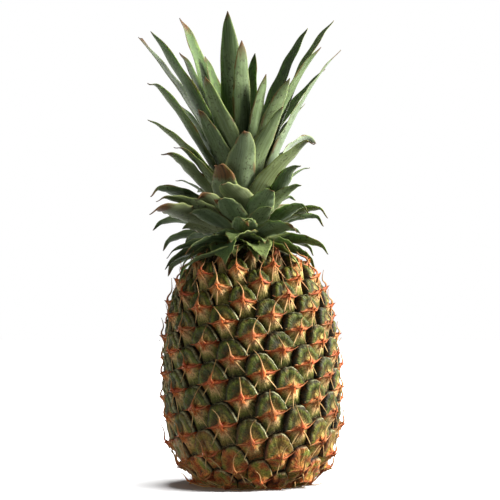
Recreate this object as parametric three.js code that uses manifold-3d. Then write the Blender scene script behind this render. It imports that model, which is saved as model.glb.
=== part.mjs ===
// A whole pineapple standing on its cut base: the fruit, the stub of the stalk
// it was cut from, the short stem of its crown, and the crown's leaves.
// Millimetres, +Z up, the origin at the middle of the cut face it stands on.
// The front is -Y. Azimuths are degrees from the front towards +X.

import * as THREE from "three";
import { mergeVertices } from "three/addons/utils/BufferGeometryUtils.js";
import Module from "manifold-3d";

const wasm = await Module();
wasm.setup();
const { Manifold } = wasm;

// Fruit outline: a barrel, widest low down, on a flat foot.
const WIDEST_RADIUS = 58.2;
const WIDEST_HEIGHT = 66.0;
const LOWER_REACH = 72.0; // from the widest height down to where the lower curve would close
const LOWER_POWERS = [3.2, 0.425];
const UPPER_REACH = 96.0; // the same, upwards
const UPPER_POWERS = [2.9, 0.43];
const FRUIT_LEAN = 0.026; // shift towards -X for each millimetre of height
const OUTLINE_STEPS = 160;
const WELD_DISTANCE = 1e-4;
const FOOT_RADIUS = 31.0;

// Eyes: one point on a spiral for each fruitlet, counted from mid fruit, upwards negative.
const DIVERGENCE = 137.42;
const FIRST_EYE_AZIMUTH = 1.0;
const MIDDLE_EYE_HEIGHT = 103.0;
const EYE_STEP = 1.008; // surface length from one eye to the next
const EYE_STEP_GROWTH = 0.0034; // lower eyes are longer
const TOP_EYE = -62;
const BOTTOM_EYE = 80;
const NEIGHBOURS = [8, 13, 21]; // the three spiral families that touch
const SKEW_EYES = 50; // the skews grow over this many eyes down from mid fruit
const SIDEWAYS_SKEW = [-1.3, 4.2]; // lower at the right: at mid fruit, and its growth
const FORWARD_SKEW = -3.5; // lower at the front: its growth
const SKEW_FADE = 34.0; // the skew dies out over this length at both ends
const PLATEAU_SHARE = 0.68; // share of an eye's cell inside its raised edge
const PLATEAU_LIFTS = [0.8, 1.4, 2.4, 2.4, 1.4, 0.8]; // from the lower right corner round
const GROOVE_LIFT = -1.6;
const SPINE_FOOT = { share: 0.28, lift: 2.2 }; // how far towards the cell's edge, and how high
const SPINE_TIP = { share: 0.8, lift: 5.6 };
const RELIEF_FADE = 10.0; // the relief dies out this close to the ends of the outline

// Stalk stub and crown stem, each in a socket of the fruit.
const STALK_RADIUS = 14.0;
const STALK_LENGTH = 12.0;
const CROWN_FOOT = 161.5;
const CROWN_ROOT_LENGTH = 8.0;
const CROWN_OFFSET = -5.6;
const CROWN_LEAN = 0.0875; // shift towards -X for each millimetre of height
const STEM_RADII = [10.5, 10.0, 9.0, 7.2, 4.4, 1.6];
const STEM_HEIGHTS = [0, 8, 19, 30, 39, 43];
const GAP = 0.3; // clearance between neighbouring pieces
const ROUND_SIDES = 32;

// Leaf shape.
const LEAF_TURN = -137.5;
const FIRST_LEAF_AZIMUTH = -16;
const LEAF_THICKNESS = 1.0;
const EDGE_THICKNESS = 0.4;
const TIP_THINNING = 0.5; // thickness at the tip as a share of that at the stem
const LEAF_STATIONS = 9;
const STATION_CROWDING = 1.35; // stations stand closer towards the tip
const SECTION_POSITIONS = [-1, -0.42, 0.42, 1];
const STEM_CHANNEL_ANGLE = 0.3; // half the arc of a section at the stem, radians
const CHANNEL_ANGLES = [0.75, 0.42]; // the same further out, for the lowest and the innermost leaf
const CHANNEL_SPREAD = 0.3; // share of a leaf over which its channel deepens
const WIDENING_LENGTH = 34.0; // from the stem to a leaf's full width
const LEAF_BASE_WIDTHS = [15, 6]; // of the lowest and the innermost leaf
const LEAF_TIP_WIDTH = 0.9;
const TIP_LENGTH_SHARE = 1.5; // the pointed end's length, as a share of the leaf's width
const LAUNCH_SHARE = 0.7; // a leaf's angle at the stem, as a share of its chord's angle
const ARRIVAL_SHARE = 1.4; // the same at its tip
const LAUNCH_HANDLE = 0.42;
const ARRIVAL_HANDLE = 0.3;
const FLATTEST_CLEARANCE = 0.4; // least cosine of a launch angle used for the gap at the stem
const TURN_SHARE = 0.8; // share of a leaf over which it turns to its tip's azimuth
const TANGENT_STEP = 0.02; // half the step for a leaf's direction, as a share of its length
const LOWEST_LEAF_BASE = 1.8;
const HIGHEST_LEAF_BASE = 41.0;
const LEAF_CROWDING = 1.25; // lower leaves stand closer on the stem

// Leaves from the lowest to the innermost. Each row: azimuth of the tip, its
// reach from the crown's axis, its height, and the leaf's width.
const LEAVES = [
  [-52, 59, 138, 17],
  [-125, 70, 144, 13],
  [50, 46, 146, 14],
  [-72, 57, 155, 13],
  [170, 58, 146, 14],
  [14, 49, 153, 24],
  [-98, 58, 148, 13],
  [80, 57, 158, 14],
  [-17, 50, 150, 24],
  [-165, 62, 168, 15],
  [46, 49, 172, 19],
  [-58, 73, 184, 18],
  [165, 57, 160, 14],
  [-11, 50, 165, 24],
  [-122, 70, 162, 14],
  [58, 53, 185, 16],
  [-60, 66, 193, 15],
  [150, 62, 187, 15],
  [30, 43, 200, 24],
  [-112, 69, 176, 15],
  [80, 59, 183, 16],
  [-28, 39, 192, 24],
  [-150, 64, 205, 16],
  [68, 45, 205, 18],
  [-46, 42, 195, 20],
  [128, 72, 239, 19],
  [-16, 43, 204, 22],
  [-72, 65, 197, 15],
  [50, 54, 217, 18],
  [-22, 39, 217, 22],
  [175, 62, 222, 16],
  [68, 57, 233, 22],
  [-58, 60, 225, 15],
  [139, 76, 267, 15],
  [9, 42, 240, 22],
  [-175, 58, 246, 17],
  [100, 80, 302, 15],
  [-68, 64, 249, 13],
  [126, 84, 293, 18],
  [44, 48, 257, 18],
  [-132, 51, 265, 12],
  [116, 85, 326, 17],
  [-44, 36, 256, 18],
  [155, 50, 272, 17],
  [49, 53, 276, 18],
  [-62, 65, 273, 12],
  [132, 79, 323, 17],
  [-28, 39, 277, 16],
  [-118, 71, 313, 14],
  [78, 65, 300, 17],
  [-76, 54, 311, 16],
  [178, 38, 300, 17],
  [28, 21, 304, 15],
  [-128, 41, 326, 20],
  [142, 30, 301, 14],
  [-8, -6, 328, 20],
  [-138, 25, 298, 14],
];

const COLOURS = {
  fruit: 0x7a6a35,
  stalk: 0xb9a06c,
  stem: 0x9aa06a,
  leaf: 0x5d7152,
};

const rad = THREE.MathUtils.degToRad;
const { lerp, clamp, smoothstep } = THREE.MathUtils;

// Radius of the fruit's outline at a height.
function outlineRadius(height) {
  const below = height < WIDEST_HEIGHT;
  const [bulge, close] = below ? LOWER_POWERS : UPPER_POWERS;
  const share = Math.abs(height - WIDEST_HEIGHT) / (below ? LOWER_REACH : UPPER_REACH);
  return WIDEST_RADIUS * Math.pow(Math.max(0, 1 - Math.pow(share, bulge)), close);
}

// The outline from the edge of its foot to the middle of its top, with surface lengths.
function makeOutline() {
  const top = WIDEST_HEIGHT + UPPER_REACH;
  const points = [];
  for (let i = 0; i <= OUTLINE_STEPS; i += 1) {
    const height = top * Math.sin((Math.PI / 2) * (i / OUTLINE_STEPS));
    const point = { radius: outlineRadius(height), height, length: 0 };
    const before = points[i - 1] ?? point;
    point.length = before.length + Math.hypot(point.radius - before.radius, height - before.height);
    points.push(point);
  }
  return points;
}

const OUTLINE = makeOutline();
const OUTLINE_LENGTH = OUTLINE[OUTLINE_STEPS].length;
const MIDDLE_EYE_LENGTH = OUTLINE.find((point) => point.height >= MIDDLE_EYE_HEIGHT).length;

// The outline's radius and height at a surface length, with its outward normal.
function outlineAt(length) {
  const wanted = clamp(length, 0, OUTLINE_LENGTH);
  const found = OUTLINE.findIndex((point) => point.length >= wanted);
  const to = OUTLINE[Math.max(1, found)];
  const from = OUTLINE[Math.max(1, found) - 1];
  const span = to.length - from.length;
  const t = (wanted - from.length) / span;
  return {
    radius: lerp(from.radius, to.radius, t),
    height: lerp(from.height, to.height, t),
    outwards: (to.height - from.height) / span,
    upwards: (from.radius - to.radius) / span,
  };
}

// Grows from 0 at both ends of the outline to 1 inside a margin.
function awayFromEnds(length, margin) {
  return smoothstep(length, 0, margin) * smoothstep(OUTLINE_LENGTH - length, 0, margin);
}

// Azimuth and surface length of eye n.
function eyePlace(n) {
  const azimuth = rad(FIRST_EYE_AZIMUTH + DIVERGENCE * n);
  const growth = EYE_STEP_GROWTH * n * Math.max(0, n);
  const length = MIDDLE_EYE_LENGTH - EYE_STEP * n - growth;
  const down = n / SKEW_EYES;
  const sideways = (SIDEWAYS_SKEW[0] + SIDEWAYS_SKEW[1] * down) * Math.sin(azimuth);
  const forward = FORWARD_SKEW * down * Math.cos(azimuth);
  return { azimuth, length: length + (sideways + forward) * awayFromEnds(length, SKEW_FADE) };
}

// The middle of some places, with azimuths taken the short way round from the first.
function middleOf(places) {
  const first = places[0].azimuth;
  const unwrapped = (angle) => first + Math.atan2(Math.sin(angle - first), Math.cos(angle - first));
  const mean = (value) => places.reduce((sum, place) => sum + value(place), 0) / places.length;
  return {
    azimuth: mean((place) => unwrapped(place.azimuth)),
    length: mean((place) => place.length),
  };
}

// A point of the fruit's skin, lifted off the outline.
function skinPoint({ azimuth, length }, lift) {
  const at = outlineAt(length);
  const raised = lift * awayFromEnds(length, RELIEF_FADE);
  const radius = at.radius + at.outwards * raised;
  const height = at.height + at.upwards * raised;
  return new THREE.Vector3(
    radius * Math.sin(azimuth) - FRUIT_LEAN * height,
    -radius * Math.cos(azimuth),
    height,
  );
}

// The eyes around each corner of eye n's cell, from its lower tip round to the right.
function cellCorners(n) {
  const [right, left, down] = NEIGHBOURS;
  return [
    [n, n + right, n + down],
    [n - left, n, n + right],
    [n - down, n - left, n],
    [n - down, n - right, n],
    [n - right, n, n + left],
    [n, n + left, n + down],
  ];
}

// A mesh in progress whose vertices can be shared by name.
class Shape {
  constructor() {
    this.points = [];
    this.faces = [];
    this.names = new Map();
  }

  add(point) {
    this.points.push(point);
    return this.points.length - 1;
  }

  shared(name, makePoint) {
    if (!this.names.has(name)) this.names.set(name, this.add(makePoint()));
    return this.names.get(name);
  }

  quad(a, b, c, d) {
    this.faces.push(a, b, c, a, c, d);
  }

  // Edges that belong to one face only, as a map from start to end.
  openEdges() {
    const open = new Map();
    for (let i = 0; i < this.faces.length; i += 1) {
      const from = this.faces[i];
      const to = this.faces[i % 3 === 2 ? i - 2 : i + 1];
      const key = `${to}/${from}`;
      if (open.has(key)) open.delete(key);
      else open.set(`${from}/${to}`, [from, to]);
    }
    return [...open.values()];
  }

  geometry() {
    const made = new THREE.BufferGeometry().setFromPoints(this.points);
    made.setIndex(this.faces);
    return made;
  }
}

// One eye: six faces around its hub and a sloping band down to its six corners.
function addEye(shape, n) {
  const hub = eyePlace(n);
  const corners = cellCorners(n).map((eyes) => {
    const name = eyes.join();
    return { name, place: middleOf([n, ...eyes.filter((eye) => eye !== n)].map(eyePlace)) };
  });
  const outer = corners.map(({ name, place }) =>
    shape.shared(name, () => skinPoint(place, GROOVE_LIFT)),
  );
  const inner = corners.map(({ place }, i) => {
    const between = {
      azimuth: lerp(hub.azimuth, place.azimuth, PLATEAU_SHARE),
      length: lerp(hub.length, place.length, PLATEAU_SHARE),
    };
    return shape.add(skinPoint(between, PLATEAU_LIFTS[i]));
  });
  for (let i = 0; i < 6; i += 1) {
    const next = (i + 1) % 6;
    shape.quad(inner[i], outer[i], outer[next], inner[next]);
  }
  addSpine(shape, hub, corners.map(({ place }) => place), inner);
}

// The middle of an eye: a three-sided spine whose tip rises towards the eye's upper edge.
function addSpine(shape, hub, corners, inner) {
  const upper = middleOf([corners[2], corners[3]]);
  const point = (towards, { share, lift }) => {
    const azimuth = lerp(hub.azimuth, towards.azimuth, share);
    return shape.add(skinPoint({ azimuth, length: lerp(hub.length, towards.length, share) }, lift));
  };
  const right = point(corners[1], SPINE_FOOT);
  const top = point(upper, SPINE_FOOT);
  const left = point(corners[4], SPINE_FOOT);
  const tip = point(upper, SPINE_TIP);
  shape.faces.push(right, top, tip, top, left, tip, left, right, tip);
  shape.faces.push(right, inner[1], inner[2], right, inner[2], top);
  shape.faces.push(top, inner[2], inner[3], top, inner[3], left, left, inner[3], inner[4]);
  shape.faces.push(left, inner[4], inner[5], left, inner[5], inner[0]);
  shape.faces.push(left, inner[0], right, right, inner[0], inner[1]);
}

// The skin of all eyes, closed by a fan at the top and a flat foot.
function fruitSkin() {
  const shape = new Shape();
  for (let n = TOP_EYE; n <= BOTTOM_EYE; n += 1) addEye(shape, n);
  const open = shape.openEdges();
  const top = shape.add(skinPoint({ azimuth: 0, length: OUTLINE_LENGTH }, 0));
  const foot = shape.add(new THREE.Vector3(0, 0, 0));
  const footPoint = (index) => {
    const { x, y } = shape.points[index];
    const onFoot = new THREE.Vector3(x, y, 0).setLength(FOOT_RADIUS);
    return shape.shared(`foot ${index}`, () => onFoot);
  };
  for (const [from, to] of open) {
    if (shape.points[from].z > WIDEST_HEIGHT) {
      shape.faces.push(to, from, top);
    } else {
      shape.quad(to, from, footPoint(from), footPoint(to));
      shape.faces.push(footPoint(to), footPoint(from), foot);
    }
  }
  return shape.geometry();
}

// A solid for adding and subtracting, made from a closed geometry.
function solidFrom(geometry) {
  const bare = new THREE.BufferGeometry();
  bare.setAttribute("position", geometry.getAttribute("position"));
  bare.setIndex(geometry.index);
  const merged = mergeVertices(bare, WELD_DISTANCE);
  const mesh = new wasm.Mesh({
    numProp: 3,
    vertProperties: new Float32Array(merged.getAttribute("position").array),
    triVerts: new Uint32Array(merged.index.array),
  });
  return new Manifold(mesh);
}

function geometryFrom(solid) {
  const mesh = solid.getMesh();
  const made = new THREE.BufferGeometry();
  made.setAttribute("position", new THREE.BufferAttribute(mesh.vertProperties, 3));
  made.setIndex(new THREE.BufferAttribute(mesh.triVerts, 1));
  return made;
}

// A round solid from radii and heights, closed at both ends.
function turned(radii, heights) {
  const profile = radii.map((radius, i) => new THREE.Vector2(radius, heights[i]));
  profile.unshift(new THREE.Vector2(0, heights[0]));
  profile.push(new THREE.Vector2(0, heights[heights.length - 1]));
  const made = new THREE.LatheGeometry(profile, ROUND_SIDES);
  made.rotateX(Math.PI / 2);
  return made;
}

function stalkStub() {
  return turned([STALK_RADIUS, STALK_RADIUS], [0, STALK_LENGTH]);
}

// Leans a geometry built around the vertical through the crown's foot.
function leanCrown(geometry) {
  const lean = new THREE.Matrix4().set(
    1, 0, -CROWN_LEAN, CROWN_OFFSET + CROWN_LEAN * CROWN_FOOT,
    0, 1, 0, 0,
    0, 0, 1, 0,
    0, 0, 0, 1,
  );
  return geometry.applyMatrix4(lean);
}

function crownStem(growth = 0) {
  const heights = STEM_HEIGHTS.map((height) => CROWN_FOOT + height);
  const radii = STEM_RADII.map((radius) => radius + growth);
  heights.unshift(CROWN_FOOT - CROWN_ROOT_LENGTH - growth);
  radii.unshift(STEM_RADII[0] + growth);
  return leanCrown(turned(radii, heights));
}

// The fruit with both sockets cut into it.
function fruit() {
  const lowSocket = turned([STALK_RADIUS + GAP, STALK_RADIUS + GAP], [-1, STALK_LENGTH + GAP]);
  const sockets = [solidFrom(lowSocket), solidFrom(crownStem(GAP))];
  return geometryFrom(Manifold.difference([solidFrom(fruitSkin()), ...sockets]));
}

// Radius of the crown stem at a height above the crown's foot.
function stemRadius(height) {
  const above = STEM_HEIGHTS.findIndex((value) => value >= height);
  const i = clamp(above, 1, STEM_HEIGHTS.length - 1);
  const t = (height - STEM_HEIGHTS[i - 1]) / (STEM_HEIGHTS[i] - STEM_HEIGHTS[i - 1]);
  return lerp(STEM_RADII[i - 1], STEM_RADII[i], t);
}

// A point at an azimuth (radians), a reach from the crown's axis and a height.
function crownPoint(azimuth, reach, height) {
  const axis = CROWN_OFFSET - CROWN_LEAN * (height - CROWN_FOOT);
  const point = new THREE.Vector3(Math.sin(azimuth), -Math.cos(azimuth), 0);
  return point.multiplyScalar(reach).add(new THREE.Vector3(axis, 0, height));
}

// The centreline of leaf k as a function of 0 to 1: an arc that leaves the stem
// steeply and bends out and over to its tip.
function leafCentreline(k, [tipAzimuth, reach, height]) {
  const rank = Math.pow(k / (LEAVES.length - 1), LEAF_CROWDING);
  const baseAzimuth = FIRST_LEAF_AZIMUTH + LEAF_TURN * k;
  const turn = THREE.MathUtils.euclideanModulo(tipAzimuth - baseAzimuth + 180, 360) - 180;
  const baseAbove = lerp(LOWEST_LEAF_BASE, HIGHEST_LEAF_BASE, rank);
  const base = new THREE.Vector2(stemRadius(baseAbove), CROWN_FOOT + baseAbove);
  const tip = new THREE.Vector2(reach, height);
  const chord = tip.clone().sub(base);
  const chordAngle = Math.atan2(chord.x, chord.y);
  const launch = chordAngle * LAUNCH_SHARE;
  const arrival = chordAngle * ARRIVAL_SHARE;
  const towards = (angle, share) =>
    new THREE.Vector2(Math.sin(angle), Math.cos(angle)).multiplyScalar(share * chord.length());
  const clearance = (GAP + LEAF_THICKNESS / 2) / Math.max(FLATTEST_CLEARANCE, Math.cos(launch));
  base.x += clearance;
  const arc = new THREE.CubicBezierCurve(
    base,
    base.clone().add(towards(launch, LAUNCH_HANDLE)),
    tip.clone().sub(towards(arrival, ARRIVAL_HANDLE)),
    tip,
  );
  const centreline = (t) => {
    const { x, y } = arc.getPoint(t);
    const azimuth = baseAzimuth + turn * smoothstep(t, 0, TURN_SHARE);
    return { azimuth: rad(azimuth), point: crownPoint(rad(azimuth), x, y) };
  };
  centreline.size = arc.getLength();
  centreline.rank = rank;
  return centreline;
}

// Width of a leaf at a distance from the stem.
function leafWidth(distance, length, width, rank) {
  const base = Math.min(lerp(...LEAF_BASE_WIDTHS, rank), width);
  const widening = lerp(base, width, smoothstep(distance, 0, WIDENING_LENGTH));
  const toTip = (length - distance) / (TIP_LENGTH_SHARE * width);
  return LEAF_TIP_WIDTH + (widening - LEAF_TIP_WIDTH) * (1 - Math.exp(-toTip));
}

// The closed ring of points of a leaf's channelled section.
function leafSection(centreline, t, width) {
  const { azimuth, point } = centreline(t);
  const before = centreline(Math.max(0, t - TANGENT_STEP)).point;
  const along = centreline(Math.min(1, t + TANGENT_STEP)).point.sub(before).normalize();
  const across = new THREE.Vector3(Math.cos(azimuth), Math.sin(azimuth), 0);
  across.addScaledVector(along, -across.dot(along)).normalize();
  const inward = new THREE.Vector3().crossVectors(along, across);
  const halfWidth = leafWidth(t * centreline.size, centreline.size, width, centreline.rank) / 2;
  const deepest = lerp(...CHANNEL_ANGLES, centreline.rank);
  const channel = lerp(STEM_CHANNEL_ANGLE, deepest, smoothstep(t, 0, CHANNEL_SPREAD));
  const bend = halfWidth / Math.sin(channel);
  const side = (position, face) => {
    const angle = position * channel;
    const half = lerp(LEAF_THICKNESS, EDGE_THICKNESS, position * position) / 2;
    const thickness = half * lerp(1, TIP_THINNING, t);
    return point
      .clone()
      .addScaledVector(across, bend * Math.sin(angle) - Math.sin(angle) * face * thickness)
      .addScaledVector(inward, bend * (1 - Math.cos(angle)) + Math.cos(angle) * face * thickness);
  };
  const inner = SECTION_POSITIONS.map((position) => side(position, 1));
  const outer = SECTION_POSITIONS.map((position) => side(position, -1));
  return [...outer, ...inner.reverse()];
}

// A blade from the stem to its tip, closed at both ends.
function leaf(k, row) {
  const centreline = leafCentreline(k, row);
  const shape = new Shape();
  const rings = [];
  for (let i = 0; i < LEAF_STATIONS; i += 1) {
    const t = 1 - Math.pow(1 - i / (LEAF_STATIONS - 1), STATION_CROWDING);
    rings.push(leafSection(centreline, t, row[3]).map((point) => shape.add(point)));
  }
  const size = rings[0].length;
  for (let i = 1; i < rings.length; i += 1) {
    for (let j = 0; j < size; j += 1) {
      const next = (j + 1) % size;
      shape.quad(rings[i - 1][j], rings[i - 1][next], rings[i][next], rings[i][j]);
    }
  }
  closeRing(shape, rings[0], true);
  closeRing(shape, rings[rings.length - 1], false);
  return shape.geometry();
}

// Closes a leaf's end with a strip between its two faces.
function closeRing(shape, ring, start) {
  const last = ring.length - 1;
  for (let j = 0; j < SECTION_POSITIONS.length - 1; j += 1) {
    const [a, b, c, d] = [ring[j], ring[j + 1], ring[last - j - 1], ring[last - j]];
    if (start) shape.quad(d, c, b, a);
    else shape.quad(a, b, c, d);
  }
}

const group = new THREE.Group();

function addMesh(name, geometry, colour, roughness) {
  const flat = geometry.index ? geometry.toNonIndexed() : geometry;
  flat.computeVertexNormals();
  const material = new THREE.MeshStandardMaterial({ color: colour, roughness, metalness: 0 });
  const mesh = new THREE.Mesh(flat, material);
  mesh.name = name;
  group.add(mesh);
}

addMesh("fruit", fruit(), COLOURS.fruit, 0.5);
addMesh("cut_stalk", stalkStub(), COLOURS.stalk, 0.85);
addMesh("crown_stem", crownStem(), COLOURS.stem, 0.7);
LEAVES.forEach((row, k) => {
  const name = `leaf_${String(k + 1).padStart(2, "0")}`;
  addMesh(name, leaf(k, row), COLOURS.leaf, 0.55);
});

export default group;
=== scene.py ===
# Looks of a whole pineapple: its skin of eyes with their spines, the cut base
# and the crown of leaves, standing on a pale floor in soft light from the right.
# Metres, +Z up, the front is -Y. Azimuths are degrees from the front towards +X.

import math

import bpy
import numpy as np
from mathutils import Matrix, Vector


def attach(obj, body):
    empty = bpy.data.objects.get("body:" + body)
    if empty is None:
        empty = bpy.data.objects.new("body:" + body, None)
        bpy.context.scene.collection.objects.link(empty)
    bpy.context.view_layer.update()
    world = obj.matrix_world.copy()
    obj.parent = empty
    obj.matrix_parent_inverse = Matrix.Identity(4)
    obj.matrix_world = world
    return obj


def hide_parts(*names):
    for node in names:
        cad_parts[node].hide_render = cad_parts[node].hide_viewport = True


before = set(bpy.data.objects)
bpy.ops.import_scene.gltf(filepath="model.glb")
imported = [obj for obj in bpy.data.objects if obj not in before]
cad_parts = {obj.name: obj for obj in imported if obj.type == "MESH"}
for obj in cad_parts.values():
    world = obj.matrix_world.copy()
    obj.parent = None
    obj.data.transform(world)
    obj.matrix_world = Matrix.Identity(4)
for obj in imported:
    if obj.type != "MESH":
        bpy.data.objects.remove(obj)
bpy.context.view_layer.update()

SEED = 7
BODY = "root"

# Fruit outline: a barrel, widest low down, on a flat foot.
WIDEST_RADIUS = 0.0582
WIDEST_HEIGHT = 0.066
LOWER_REACH = 0.072
LOWER_POWERS = (3.2, 0.425)
UPPER_REACH = 0.096
UPPER_POWERS = (2.9, 0.43)
FRUIT_LEAN = 0.026
OUTLINE_STEPS = 400

# Eyes: one point on a spiral for each fruitlet, counted from mid fruit, upwards negative.
DIVERGENCE = 137.42
FIRST_EYE_AZIMUTH = 1.0
MIDDLE_EYE_HEIGHT = 0.103
EYE_STEP = 0.001008
EYE_STEP_GROWTH = 0.0000034
TOP_EYE = -62
BOTTOM_EYE = 90
SIDES = (8, 13, 21)  # steps to the next eyes on the right, the left and below
SKEW_EYES = 50
SIDEWAYS_SKEW = (-0.0013, 0.0042)
FORWARD_SKEW = -0.0035
SKEW_FADE = 0.034
RELIEF_FADE = 0.010

# Relief of one eye, as lifts off the outline.
CAP_COLUMNS = 29
APRON_COLUMNS = 17
# Shares of the way from an eye's hub to its edge.
RINGS = (0.0, 0.1, 0.22, 0.36, 0.5, 0.64, 0.76, 0.85, 0.91, 0.95, 0.98, 1.0)
EDGE_BOWS = (-0.06, 0.06, 0.1, 0.06, -0.06, -0.1)  # of a cell's edges, outward from its hub
GROOVE_LIFT = -0.0024
HOLLOW_HEIGHT = 0.0012
CAP_HEIGHT = 0.0038
APRON_HEIGHT = 0.0042
FOLD_HEIGHT = 0.0014
TENT_HEIGHT = 0.0016
TOP_TENT_HEIGHT = 0.0030  # more, on the eyes of the fruit's shoulder
# The shade attribute is painted shade of the hollow under the crown, rising between these heights.
SHADED_HEIGHTS = (0.147, 0.157)  # the hollow under the crown darkens between these
UPPER_LENGTHS = (0.11, 0.165)  # eyes turn into those of the shoulder over this length
FOOT_LENGTHS = (0.018, 0.062)  # and into those of the foot over this one
CORNER_SPREAD = (-0.16, -0.08, 0.0, 0.08, 0.16)  # in corners, for rounding a cell off
NARROWEST = 0.012  # least radius that turns on the skin are worked out with
UNDERSKIN_LIFT = -0.0025
UNDERSKIN_GRID = (90, 96)  # rings and columns
FOOT_RADIUS = 0.0315
FOOT_GRID = (14, 120)
FOOT_RELIEF_FADE = 0.004
STRAND_RELIEF_FADE = 0.002
STRAND_RADIUS = 0.05  # that a strand's slant is turned into an azimuth with
NORMALS_HEIGHT = 0.08  # strips on the skin face away from the axis at this height
NORMALS_TILT = 0.35  # and tilt up and down by this much of the way

# Bracts on each eye, and the loose dry strands.
SPINE_STEPS = 15
WING_STEPS = 11
STRIP_STEPS = 9
BLADE_SECTION = ((-1.0, 0.0), (-0.5, 0.62), (0.0, 1.0), (0.5, 0.62), (1.0, 0.0), (0.0, -0.5))
SPINE_FOOT = 0.0046  # how far below the hub a spine starts
STRIPS = ((-52, 0.85), (-110, 0.85), (-80, 0.2))  # direction on the eye and chance
LOOSE_STRANDS = 34
# Strands seen in the photograph: azimuth, length up the outline, size and slant.
SEEN_STRANDS = (
    (-88, 0.034, 0.014, -0.9),
    (-74, 0.012, 0.019, -0.8),
    (84, 0.036, 0.010, 0.8),
    (58, 0.014, 0.012, -0.9),
    (40, 0.004, 0.013, 0.3),
    (28, 0.003, 0.010, 0.9),
)
# What the skin's material reads off the foot and the grooves.
FOOT_VALUES = {"cap": 0.0, "around": 0.5, "tone": 0.5, "upness": 0.0, "lowness": 1.0, "shade": 0.0}

# Stalk, crown stem and the crown's lean.
STALK_RADIUS = 0.014
STALK_LENGTH = 0.012
STALK_RIDGES = 12
STALK_COLUMNS = 64
CROWN_FOOT = 0.1615
CROWN_OFFSET = -0.0056
CROWN_LEAN = 0.0875
STEM_RADII = (0.0105, 0.0100, 0.0090, 0.0072, 0.0044, 0.0016)
STEM_HEIGHTS = (0.0, 0.008, 0.019, 0.030, 0.039, 0.043)
UNEVEN_LOBES = 11.0  # bumps round the stalk and the stem
UNEVEN_TWIST = 900.0  # how much they shift per metre of height
STEM_ROWS = 60
STEM_COLUMNS = 40
STEM_SOCKET = -0.007  # how far below the crown's foot the stem starts
GAP = 0.0003

# Leaf shape.
LEAF_TURN = -137.5
FIRST_LEAF_AZIMUTH = -16
LEAF_THICKNESS = 0.0011
EDGE_THICKNESS = 0.0003
LEAF_STATIONS = 46
LEAF_ACROSS = 11
CHANNEL_ANGLES = (1.2, 0.85, 0.4)
SIDE_ROLL = (0.6, 0.1)  # how far low and high leaves at the sides turn their undersides forward
ROLL_CHANGE = (0.3, 0.62)  # over these ranks
WIDTH_GAIN = (1.3, 1.0)  # of the lowest and the innermost leaf over its frame's leaf
STRAIGHTENING = (0.18, -0.18)  # of the launch and arrival of leaves that spread flat
FLAT_ANGLES = (math.radians(55.0), math.radians(95.0))
WIDEST_SHARE = 0.3
TIP_WIDTH = 0.0005
LAUNCH_HANDLE = 0.42
ARRIVAL_HANDLE = 0.3
LOWEST_LEAF_BASE = 0.0018
HIGHEST_LEAF_BASE = 0.041
LEAF_CROWDING = 1.25
TURN_SHARE = 0.8
TIP_CROWDING = 1.25  # of the stations along a leaf towards its tip
HOOK_SHARES = (0.86, 1.0)  # the last part of a leaf, which hooks over
WAVE_HEIGHT = 0.035  # of a leaf's margins, in widths
LEAF_GLOW = 0.35
LEAF_GLOW_TINT = (0.8, 1.0, 0.55)
LEAF_GLOW_DEPTH = 0.0015

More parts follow.
